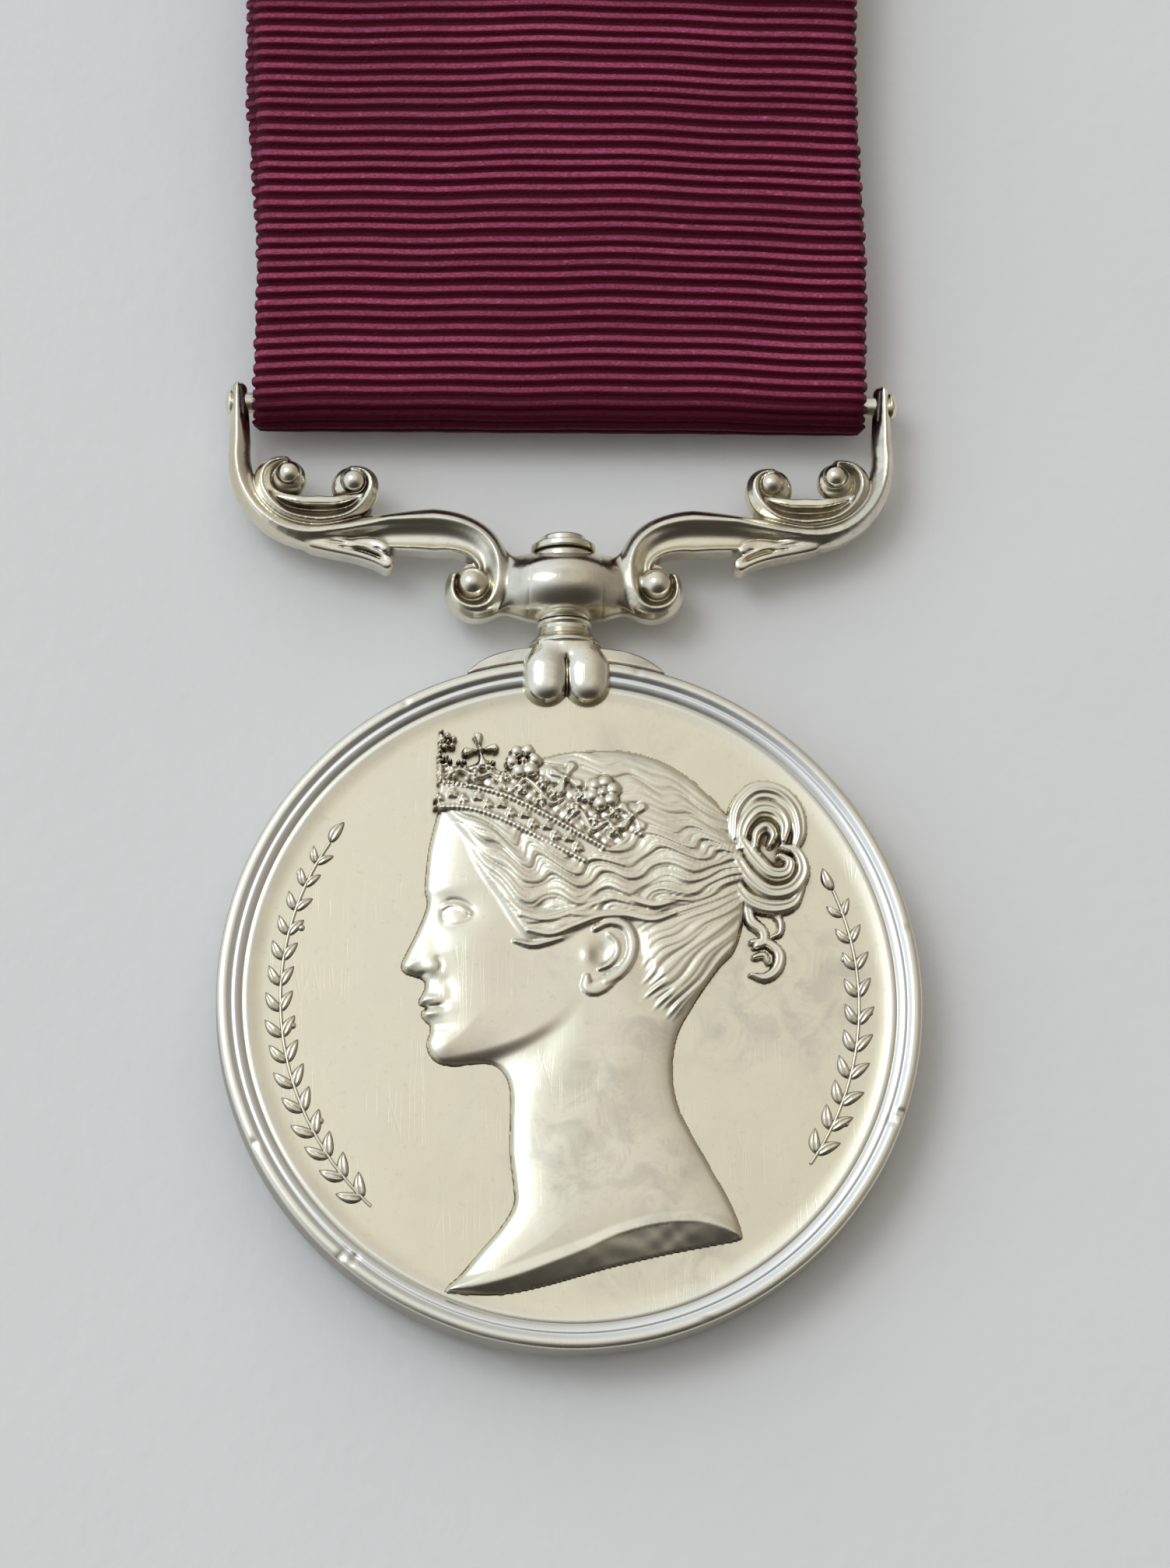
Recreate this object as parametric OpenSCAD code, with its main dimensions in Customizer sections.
// Military service medal lying face up: struck disc, claw, swivel, scroll suspender, ribbon and pin brooch.
// Millimetres. +Z is the obverse side, +Y runs from the disc towards the brooch.

/* [Disc] */
// Diameter of the struck disc
disc_d = 36; // [28:1:44]
// Thickness of the disc at its raised rim
disc_t = 2.6; // [2:0.1:4]
// Width of the raised rim
rim_w = 1.3; // [0.8:0.1:2]
// Depth of the field below the rim, on each side
field_depth = 0.4; // [0.2:0.05:0.6]
// Height of the plain head above the field
head_rise = 0.5; // [0.2:0.05:0.8]

/* [Claw] */
// Width of the claw across its two toes
claw_w = 4.9; // [4.2:0.1:6]
// How far the toes reach over the disc's face
toe_reach = 2.1; // [1.8:0.1:3.4]
// Height of the toes above the rim
toe_rise = 0.9; // [0.7:0.1:1.2]
// Height of the claw above the disc's edge
saddle_h = 1.1; // [0.9:0.1:2]
// Span of the crescent shoulder plate along the disc's edge
shoulder_l = 10.5; // [8:0.5:13]
// Height of the shoulder plate above the disc's edge, in its middle
shoulder_h = 0.9; // [0.6:0.05:1]
// Thickness of the shoulder plate at its two ends
shoulder_end = 0.3; // [0.2:0.05:0.5]
// Width of the shoulder plate, from its front to its back
shoulder_w = 2; // [1.4:0.1:2.4]
// Diameter of the pin through the toes and the disc
claw_pin_d = 1; // [0.6:0.1:1.2]

/* [Swivel] */
// Diameter of the stem that the suspender turns on
stem_d = 1.6; // [1.2:0.1:2]
// Radial running clearance of the stem in the ball
stem_clear = 0.05; // [0.02:0.01:0.1]
// Diameter of the neck collar
collar_d = 3.8; // [3:0.1:4.4]
// Height of the neck collar
collar_h = 1.2; // [0.9:0.1:2]
// Diameter of the suspender's ball
ball_d = 4.9; // [4.1:0.1:6]
// Height of the ball between its flat ends
ball_h = 3.7; // [2.8:0.1:4]
// Diameter of the cap on the end of the stem
cap_d = 3.4; // [2.7:0.1:4.2]
// Height of the cap
cap_h = 0.9; // [0.7:0.1:1.6]
// Gap between each turning face and its neighbour
face_gap = 0.08; // [0.05:0.01:0.15]

/* [Suspender] */
// Height of the ribbon bar above the ball's centre
bar_rise = 10.1; // [8.6:0.1:12.5]
// Thickness of the scroll arms
arm_t = 2.2; // [1.6:0.1:3]
// Thickness of the upright that the bar passes through
upright_t = 0.95; // [0.75:0.05:1.4]
// Diameter of the ribbon bar
bar_d = 1.1; // [0.8:0.1:1.4]
// Diameter of the bar's domed head
bar_head_d = 1.5; // [1.5:0.1:2.2]
// Height of the bar's domed head
bar_head_h = 0.4; // [0.3:0.05:0.6]

/* [Ribbon] */
// Width of the ribbon
ribbon_w = 31.75; // [26:0.25:40]
// Thickness of the ribbon
ribbon_t = 0.6; // [0.4:0.05:0.8]
// Length of the ribbon from the bar to the middle of the brooch plate
ribbon_drop = 38; // [28:1:50]
// Clearance between the bar and the ribbon that swings on it
loop_clear = 0.3; // [0.2:0.05:0.5]
// Gap between the ribbon's edge and each upright
side_gap = 0.5; // [0.3:0.05:1]
// Number of stitches that close the ribbon
stitch_count = 16; // [8:1:20]

/* [Brooch] */
// How far the brooch plate stands out past each edge of the ribbon
plate_overhang = 2.6; // [2.4:0.1:3.2]
// Height of the brooch plate
plate_h = 5; // [4:0.5:8]
// Thickness of the brooch plate
plate_t = 1; // [0.8:0.1:1.4]
// Diameter of the pin's needle
needle_d = 0.9; // [0.7:0.05:1.1]
// Clearance between the needle and the catch
catch_clear = 0.15; // [0.1:0.05:0.3]
// Wall of the catch
catch_t = 0.5; // [0.4:0.05:0.7]
// Diameter of the hinge rivet
rivet_d = 1; // [0.8:0.1:1.2]
// Radial running clearance of the pin's eye on the rivet
rivet_clear = 0.05; // [0.02:0.01:0.1]
// Space kept behind the ribbon, from the needle's axis
needle_space = 1.1; // [1.05:0.05:1.6]

/* [Hidden] */
$fn = 64;

// Local frame: the disc's centre, in the middle of its thickness.
disc_r = disc_d / 2;
field_r = disc_r - rim_w;
field_z = disc_t / 2 - field_depth;
seat_gap = 0.02;
bore_margin = 1;

// The swivel's stack, from the disc's edge outward along +Y.
collar_y = disc_r + saddle_h;
ball_bottom_y = collar_y + collar_h + face_gap;
ball_y = ball_bottom_y + ball_h / 2;
ball_top_y = ball_bottom_y + ball_h;
cap_y = ball_top_y + face_gap;
stem_r = stem_d / 2;
ball_r = ball_d / 2;
ball_flat_x = ball_r - 0.12;

// The scroll arms, from the ball out to the uprights.
upright_in = ribbon_w / 2 + side_gap;
upright_out = upright_in + upright_t;
bar_y = ball_y + bar_rise;
bar_end_h = 0.3;
design_root = 2.33;
design_span = 17.35;
design_rise = 10.1;
arm_stretch = (upright_out - ball_flat_x) / (design_span - design_root);

// The claw pin, midway along the part of the toes that covers the rim.
claw_pin_y = disc_r - 1.05;
claw_t = disc_t + 2 * toe_rise;
toe_r = claw_w / 4;

// Heights above the surface that the medal lies on.
eye_t = needle_d;
catch_in_r = needle_d / 2 + catch_clear;
catch_out_r = catch_in_r + catch_t;
needle_z = catch_out_r;
mid_z = max(ball_r, claw_t / 2);
ribbon_back_z = needle_z + needle_space;
plate_back_z = ribbon_back_z + ribbon_t;
plate_z = plate_back_z + plate_t / 2;

// The ribbon's loop, and the brooch at its other end.
loop_in_r = bar_d / 2 + loop_clear;
loop_out_r = loop_in_r + ribbon_t;
plate_y = bar_y + ribbon_drop;
plate_l = ribbon_w + 2 * plate_overhang;
plate_edge_r = plate_t / 2;
hinge_x = -(plate_l / 2 - 1.4);
eye_r = 1.05;
catch_l = 1.4;
catch_x = plate_l / 2 - 0.7 - catch_l / 2;
needle_tip_x = catch_x + catch_l / 2 + 0.2;
tip_l = 1.8;

// The origin is under the middle of the whole medal's box.
mid_y = (plate_y + plate_h / 2 + ribbon_t - disc_r) / 2;

silver = [0.83, 0.81, 0.74];
maroon = [0.36, 0.06, 0.18];

// Moves a shape from the disc's frame to its place above the resting surface.
module on_axis() translate([0, -mid_y, mid_z]) children();

// Moves a shape whose heights are already measured from the resting surface.
module on_table() translate([0, -mid_y, 0]) children();

// A cylinder along +Y from y to y + h.
module along_y(y, h, r1, r2) translate([0, y, 0])
    rotate([-90, 0, 0]) cylinder(h = h, r1 = r1, r2 = r2);

// A cylinder along X, centred on the origin.
module along_x(h, r) rotate([0, 90, 0]) cylinder(h = h, r = r, center = true);

// ---- Disc ----

// Outline of a plain head in profile, facing left, with a bun, a neck and a cut-off.
module head_outline() {
    translate([-0.6, 5.4]) circle(r = 8);
    translate([-2.5, 0.6]) circle(r = 6.2);
    translate([9.6, 6.2]) circle(r = 2.6);
    polygon([[-3.4, 0], [5.6, 1.5], [4.9, -6.2], [8.3, -11.4], [2, -11.9], [-6.6, -14.3], [-3.3, -10]]);
}

module disc() color(silver) on_axis() {
    difference() {
        cylinder(h = disc_t, r = disc_r, center = true, $fn = 128);
        for (side = [-1, 1])
            translate([0, 0, side * (field_z + disc_t / 2)])
                cylinder(h = disc_t, r = field_r, center = true, $fn = 128);
        translate([0, claw_pin_y, 0]) cylinder(h = claw_t, r = claw_pin_d / 2 + seat_gap, center = true);
    }
    translate([0, 0, field_z]) linear_extrude(head_rise) scale(disc_d / 36) head_outline();
}

// ---- Claw ----

// One rounded toe on the +Z side, from the saddle down over the rim.
module toe(x) {
    toe_z = claw_t / 2 - toe_r;
    hull() {
        translate([x, disc_r + saddle_h - toe_r, toe_z]) sphere(r = toe_r, $fn = 32);
        translate([x, disc_r - toe_reach + toe_r, toe_z]) sphere(r = toe_r, $fn = 32);
    }
}

// Two toes on each face, on a saddle that straddles the disc's edge.
module claw() color(silver) on_axis() difference() {
    union() {
        for (side = [0, 1])
            mirror([0, 0, side])
                for (x = [-1, 1])
                    toe(x * toe_r);
        along_y(disc_r - toe_r, saddle_h + toe_r, collar_d / 2, collar_d / 2);
    }
    cylinder(h = disc_t + 2 * seat_gap, r = disc_r + seat_gap, center = true, $fn = 128);
    shoulder_blank(seat_gap);
    translate([0, claw_pin_y, 0]) cylinder(h = 2 * claw_t, r = claw_pin_d / 2 + seat_gap, center = true);
    along_y(disc_r, saddle_h + bore_margin, stem_r + seat_gap, stem_r + seat_gap);
}

// A disc whose edge rises over the medal's edge in the middle and meets its ends at shoulder_l.
module shoulder_blank(grow) {
    end_y = sqrt(pow(disc_r, 2) - pow(shoulder_l / 2, 2)) + shoulder_end;
    rise = disc_r + shoulder_h - end_y;
    arc_r = (pow(shoulder_l / 2, 2) + pow(rise, 2)) / (2 * rise);
    intersection() {
        translate([0, disc_r + shoulder_h - arc_r, 0])
            cylinder(h = shoulder_w + 2 * grow, r = arc_r + grow, center = true, $fn = 128);
        translate([0, disc_r, 0]) cube([shoulder_l + 2 * grow, shoulder_l, disc_t], center = true);
    }
}

// A crescent that sits on the disc's edge, under the claw.
module claw_shoulder() color(silver) on_axis() difference() {
    shoulder_blank(0);
    cylinder(h = disc_t, r = disc_r + seat_gap, center = true, $fn = 128);
    along_y(disc_r - bore_margin, 4 * bore_margin, stem_r + seat_gap, stem_r + seat_gap);
}

module claw_pin() color(silver) on_axis()
    translate([0, claw_pin_y, 0]) cylinder(h = claw_t - 0.3, r = claw_pin_d / 2, center = true);

// ---- Swivel ----

// Two mouldings with a groove between them.
module neck_collar() color(silver) on_axis() {
    band_h = (collar_h - 0.3) / 2;
    difference() {
        union() {
            along_y(collar_y, band_h, collar_d / 2, collar_d / 2);
            along_y(collar_y, collar_h, collar_d / 2 - 0.25, collar_d / 2 - 0.25);
            along_y(collar_y + collar_h - band_h, band_h, collar_d / 2 - 0.1, collar_d / 2 - 0.1);
        }
        along_y(collar_y - bore_margin, collar_h + 2 * bore_margin, stem_r + seat_gap, stem_r + seat_gap);
    }
}

module swivel_pin() color(silver) on_axis()
    along_y(disc_r + seat_gap, cap_y + cap_h - 0.3 - disc_r, stem_r, stem_r);

// A washer with a smaller peened button on it.
module swivel_cap() color(silver) on_axis() difference() {
    washer_h = cap_h / 2;
    union() {
        along_y(cap_y, washer_h, cap_d / 2, cap_d / 2);
        along_y(cap_y, cap_h - 0.15, cap_d / 3, cap_d / 3);
        along_y(cap_y + cap_h - 0.15, 0.15, cap_d / 3, cap_d / 3 - 0.15);
    }
    along_y(cap_y - bore_margin, bore_margin + cap_h - 0.28, stem_r + seat_gap, stem_r + seat_gap);
}

// ---- Suspender ----

// A ball with flat ends and flat sides, bored for the stem.
module suspender_ball() color(silver) on_axis() difference() {
    intersection() {
        translate([0, ball_y, 0]) sphere(r = ball_r);
        translate([0, ball_y, 0]) cube([2 * ball_flat_x, ball_h, ball_d], center = true);
    }
    along_y(ball_y - ball_h, 2 * ball_h, stem_r + stem_clear, stem_r + stem_clear);
}

// A point of the right arm, stretched from the ball's side to the upright and up to the bar.
function arm_pt(x, y) = [
    ball_flat_x + (x - design_root) * arm_stretch,
    y * bar_rise / design_rise
];

// Point and unit normal of a cubic Bezier curve.
function bezier(p, t) = pow(1 - t, 3) * p[0] + 3 * t * pow(1 - t, 2) * p[1]
    + 3 * t * t * (1 - t) * p[2] + pow(t, 3) * p[3];
function bezier_slope(p, t) = pow(1 - t, 2) * (p[1] - p[0]) + 2 * t * (1 - t) * (p[2] - p[1])
    + t * t * (p[3] - p[2]);
function bezier_normal(p, t) = let (d = bezier_slope(p, t)) [-d[1], d[0]] / norm(d);

// One side of a stroke along a chain of curves. Each link is [curve, start width, end width].
function stroke_side(links, side, steps) = [
    for (link = links, i = [0 : steps - (link == links[len(links) - 1] ? 0 : 1)])
        let (t = i / steps)
            bezier(link[0], t) + side / 2 * (link[1] + (link[2] - link[1]) * t) * bezier_normal(link[0], t)
];
function reversed(list) = [for (i = [len(list) - 1 : -1 : 0]) list[i]];

module stroke(links, thick, steps = 10) translate([0, 0, -thick / 2])
    linear_extrude(thick)
        polygon(concat(stroke_side(links, 1, steps), reversed(stroke_side(links, -1, steps))));

// The S-shaped arm: down the upright, round the foot, over the crest and into the volute.
upright_x = design_span - upright_t / 2 / arm_stretch;
upright_top = design_rise + (bar_d / 2 + 0.2) * design_rise / bar_rise;
arm_links = [
    [[arm_pt(upright_x, upright_top), arm_pt(upright_x, 9.9), arm_pt(upright_x, 8.7), arm_pt(upright_x, 7.7)],
        upright_t, upright_t],
    [[arm_pt(upright_x, 7.7), arm_pt(17.1, 5), arm_pt(15.4, 2.75), arm_pt(12.7, 2.75)], upright_t, 1.3],
    [[arm_pt(12.7, 2.75), arm_pt(10.9, 2.75), arm_pt(8.8, 3.15), arm_pt(6.8, 3.2)], 1.3, 1.95],
    [[arm_pt(6.8, 3.2), arm_pt(4.9, 3.2), arm_pt(3.75, 2.4), arm_pt(3.65, 1)], 1.95, 1.5],
    [[arm_pt(3.65, 1), arm_pt(3.65, -0.3), arm_pt(3.9, -1), arm_pt(4.7, -1)], 1.5, 1],
    [[arm_pt(4.7, -1), arm_pt(5.4, -1), arm_pt(5.85, -0.5), arm_pt(5.65, 0.3)], 1, 0.8]
];
// The C-scroll in the arm's foot, curled over a ball at each end.
scroll_links = [
    [[arm_pt(14.5, 6.7), arm_pt(15.3, 6.7), arm_pt(15.7, 6.3), arm_pt(15.7, 5.6)], 0.6, 0.9],
    [[arm_pt(15.7, 5.6), arm_pt(15.7, 4.5), arm_pt(14.4, 3.9), arm_pt(12.7, 3.9)], 0.9, 1.7],
    [[arm_pt(12.7, 3.9), arm_pt(11.2, 3.9), arm_pt(10.05, 4.5), arm_pt(10.05, 5.4)], 1.7, 0.9],
    [[arm_pt(10.05, 5.4), arm_pt(10.05, 5.9), arm_pt(10.4, 6.2), arm_pt(11, 6.2)], 0.9, 0.6]
];
// The leaf that springs from the underside of the foot.
leaf_links = [
    [[arm_pt(13, 2.4), arm_pt(11.6, 2), arm_pt(10.2, 1.95), arm_pt(9.1, 1.2)], 1, 0.35]
];
volute_ball_r = 0.65 * max(1, arm_stretch);
scroll_ball_r = 0.65 * max(1, arm_stretch);
root_l = arm_pt(3.4, 0)[0] - ball_flat_x;

module right_arm() translate([0, ball_y, 0]) {
    difference() {
        union() {
            stroke(arm_links, arm_t);
            stroke(scroll_links, arm_t - 0.3);
            stroke(leaf_links, arm_t - 0.6);
            translate([ball_flat_x, -0.8, -0.9]) cube([root_l, 1.9, 1.8]);
            translate(arm_pt(4.75, 0.3)) sphere(r = volute_ball_r);
            translate(arm_pt(14.45, 6.15)) sphere(r = scroll_ball_r);
            translate(arm_pt(10.95, 5.8)) sphere(r = scroll_ball_r);
        }
        translate([upright_in, bar_rise, 0]) along_x(4 * upright_t, bar_d / 2 + seat_gap);
    }
}

module right_scroll() color(silver) on_axis() right_arm();

module left_scroll() color(silver) on_axis() mirror([1, 0, 0]) right_arm();

// A plain rod through both uprights, with a domed head on the right and a peened end on the left.
module ribbon_bar() color(silver) on_axis() translate([0, bar_y, 0]) {
    along_x(2 * upright_out, bar_d / 2);
    translate([upright_out, 0, 0]) rotate([0, 90, 0])
        cylinder(h = bar_head_h, r1 = bar_head_d / 2, r2 = bar_d / 3);
    translate([-upright_out, 0, 0]) rotate([0, -90, 0])
        cylinder(h = bar_end_h, r1 = bar_d / 2 + 0.15, r2 = bar_d / 3);
}

// ---- Ribbon ----

// Cross-section of the space that the ribbon wraps, seen from the side: Y runs right and Z runs up.
module wrapped_space(grow) hull() {
    translate([bar_y, mid_z]) circle(r = loop_in_r + grow);
    for (side = [-1, 1])
        translate([plate_y + side * (plate_h / 2 - plate_edge_r), plate_z]) circle(r = plate_edge_r + grow);
}

module ribbon() color(maroon) on_table()
    rotate([90, 0, 90]) linear_extrude(ribbon_w, center = true) difference() {
        wrapped_space(ribbon_t, $fn = 32);
        wrapped_space(seat_gap, $fn = 32);
    }

// A row of stitches on the ribbon's back, close under the plate.
stitch_size = [1.1, 0.35, 0.3];
stitch_y = plate_y - plate_h / 2 - 1.6;
module ribbon_stitching() color(maroon) on_table() {
    pitch = ribbon_w / (stitch_count + 1);
    reach = (stitch_y - bar_y) / (plate_y - bar_y);
    back_z = (mid_z - loop_out_r) * (1 - reach) + ribbon_back_z * reach;
    for (i = [1 : stitch_count])
        translate([i * pitch - ribbon_w / 2, stitch_y, back_z])
            cube(stitch_size, center = true);
}

// ---- Brooch ----

module brooch_plate() color(silver) on_table() translate([0, plate_y, plate_z]) {
    cube([plate_l, plate_h - plate_t, plate_t], center = true);
    for (side = [-1, 1])
        translate([0, side * (plate_h / 2 - plate_edge_r), 0]) along_x(plate_l, plate_edge_r);
}

// A post on the plate's back, bored for the rivet.
module brooch_hinge_post() color(silver) on_table() {
    post_z = needle_z + eye_t / 2 + face_gap;
    translate([hinge_x, plate_y, post_z]) difference() {
        cylinder(h = plate_back_z - post_z, r = eye_r);
        translate([0, 0, -bore_margin])
            cylinder(h = bore_margin + plate_back_z - post_z - 0.3, r = rivet_d / 2 + seat_gap);
    }
}

// A domed head under the pin's eye, and a stem that ends inside the post.
module brooch_hinge_rivet() color(silver) on_table() translate([hinge_x, plate_y, 0]) {
    head_top = needle_z - eye_t / 2 - face_gap;
    stem_top = plate_back_z - 0.4;
    translate([0, 0, head_top - 0.4]) cylinder(h = 0.4, r1 = eye_r - 0.3, r2 = eye_r - 0.1);
    translate([0, 0, head_top - 0.1]) cylinder(h = stem_top - head_top + 0.1, r = rivet_d / 2);
}

// An eye that turns on the rivet, a straight needle and a tapered tip.
module brooch_pin() color(silver) on_table() translate([0, plate_y, needle_z]) {
    needle_l = needle_tip_x - hinge_x - tip_l;
    difference() {
        union() {
            translate([hinge_x, 0, 0]) cylinder(h = eye_t, r = eye_r, center = true);
            translate([hinge_x, 0, 0]) rotate([0, 90, 0]) cylinder(h = needle_l, r = needle_d / 2);
            translate([hinge_x + needle_l, 0, 0]) rotate([0, 90, 0])
                cylinder(h = tip_l, r1 = needle_d / 2, r2 = needle_d / 12);
        }
        translate([hinge_x, 0, 0]) cylinder(h = 2 * eye_t, r = rivet_d / 2 + rivet_clear, center = true);
    }
}

// A J-shaped hook under the needle, open towards +Y.
module brooch_catch() color(silver) on_table() translate([catch_x - catch_l / 2, plate_y, needle_z]) {
    hook_angle = 120;
    translate([0, -catch_out_r, 0]) cube([catch_l, catch_t, plate_back_z - needle_z]);
    rotate([90, 0, 90]) rotate([0, 0, 180]) rotate_extrude(angle = hook_angle)
        translate([catch_in_r, 0]) square([catch_t, catch_l]);
}

disc();
claw();
claw_shoulder();
claw_pin();
neck_collar();
swivel_pin();
swivel_cap();
suspender_ball();
left_scroll();
right_scroll();
ribbon_bar();
ribbon();
ribbon_stitching();
brooch_plate();
brooch_hinge_post();
brooch_hinge_rivet();
brooch_pin();
brooch_catch();
